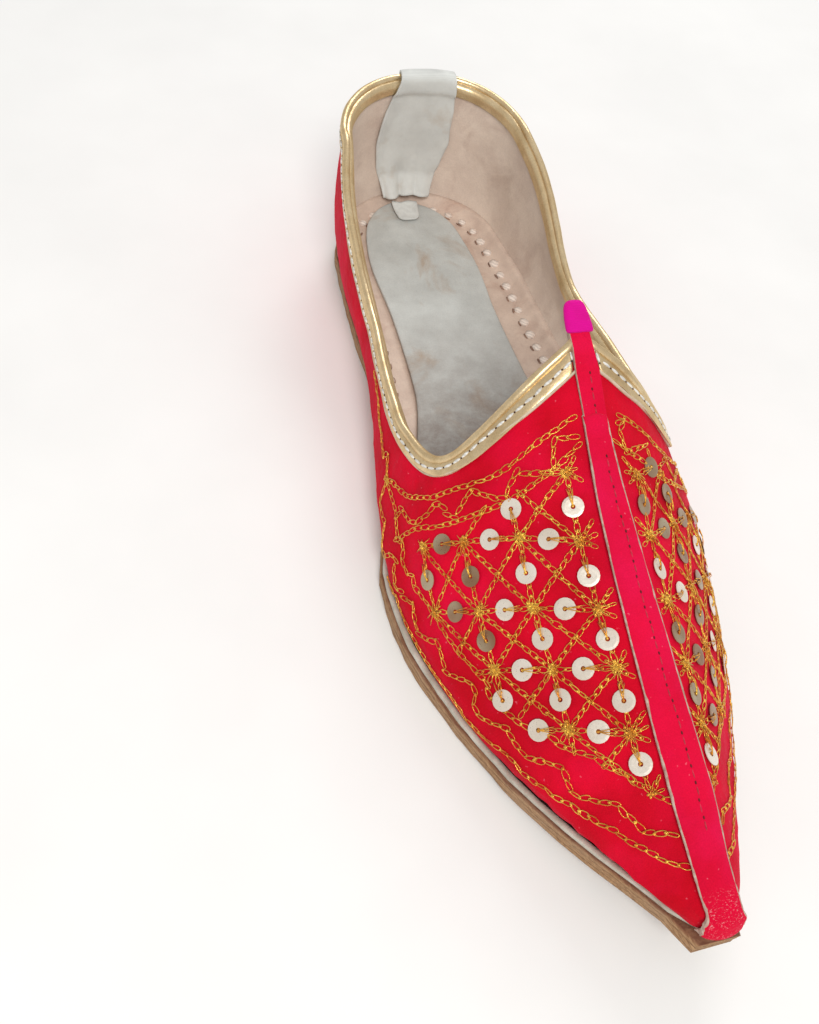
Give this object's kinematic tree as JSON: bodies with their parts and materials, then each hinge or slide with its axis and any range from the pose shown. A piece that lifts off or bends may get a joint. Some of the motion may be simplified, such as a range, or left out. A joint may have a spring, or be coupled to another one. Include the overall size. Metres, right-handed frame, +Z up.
{
  "type": "mojari shoe",
  "caption": "Flat leather-soled slip-on shoe with a keeled, turned-up pointed toe, open collar, bound topline and a tongue tab.",
  "frame": {"origin": "middle of the footprint's box, on the floor under the sole", "axes": "-Y is towards the toe, X is across the foot, +Z is up"},
  "size_m": [0.0906, 0.2688, 0.0786],
  "materials": {
    "sole_leather": "layered leather with a raw edge",
    "rand_leather": "pale undyed leather",
    "red_cloth": "short-napped crimson silk",
    "lining_leather": "thin undyed goatskin",
    "grey_felt": "worn and stained felt",
    "gold_leather": "dull gold foil",
    "white_cloth": "plain off-white cotton",
    "red_strip": "crimson silk over a pale leather edge",
    "magenta_cloth": "satin"
  },
  "bodies": {
    "root": {"outsole": "sole_leather", "rand": "rand_leather", "upper": "red_cloth", "insole": "lining_leather", "sock_pad": "grey_felt", "topline_binding": "gold_leather", "heel_tab": "white_cloth", "vamp_strip": "red_strip", "tongue_strip": "red_strip", "tongue_cap": "magenta_cloth"}
  },
  "joints": []
}
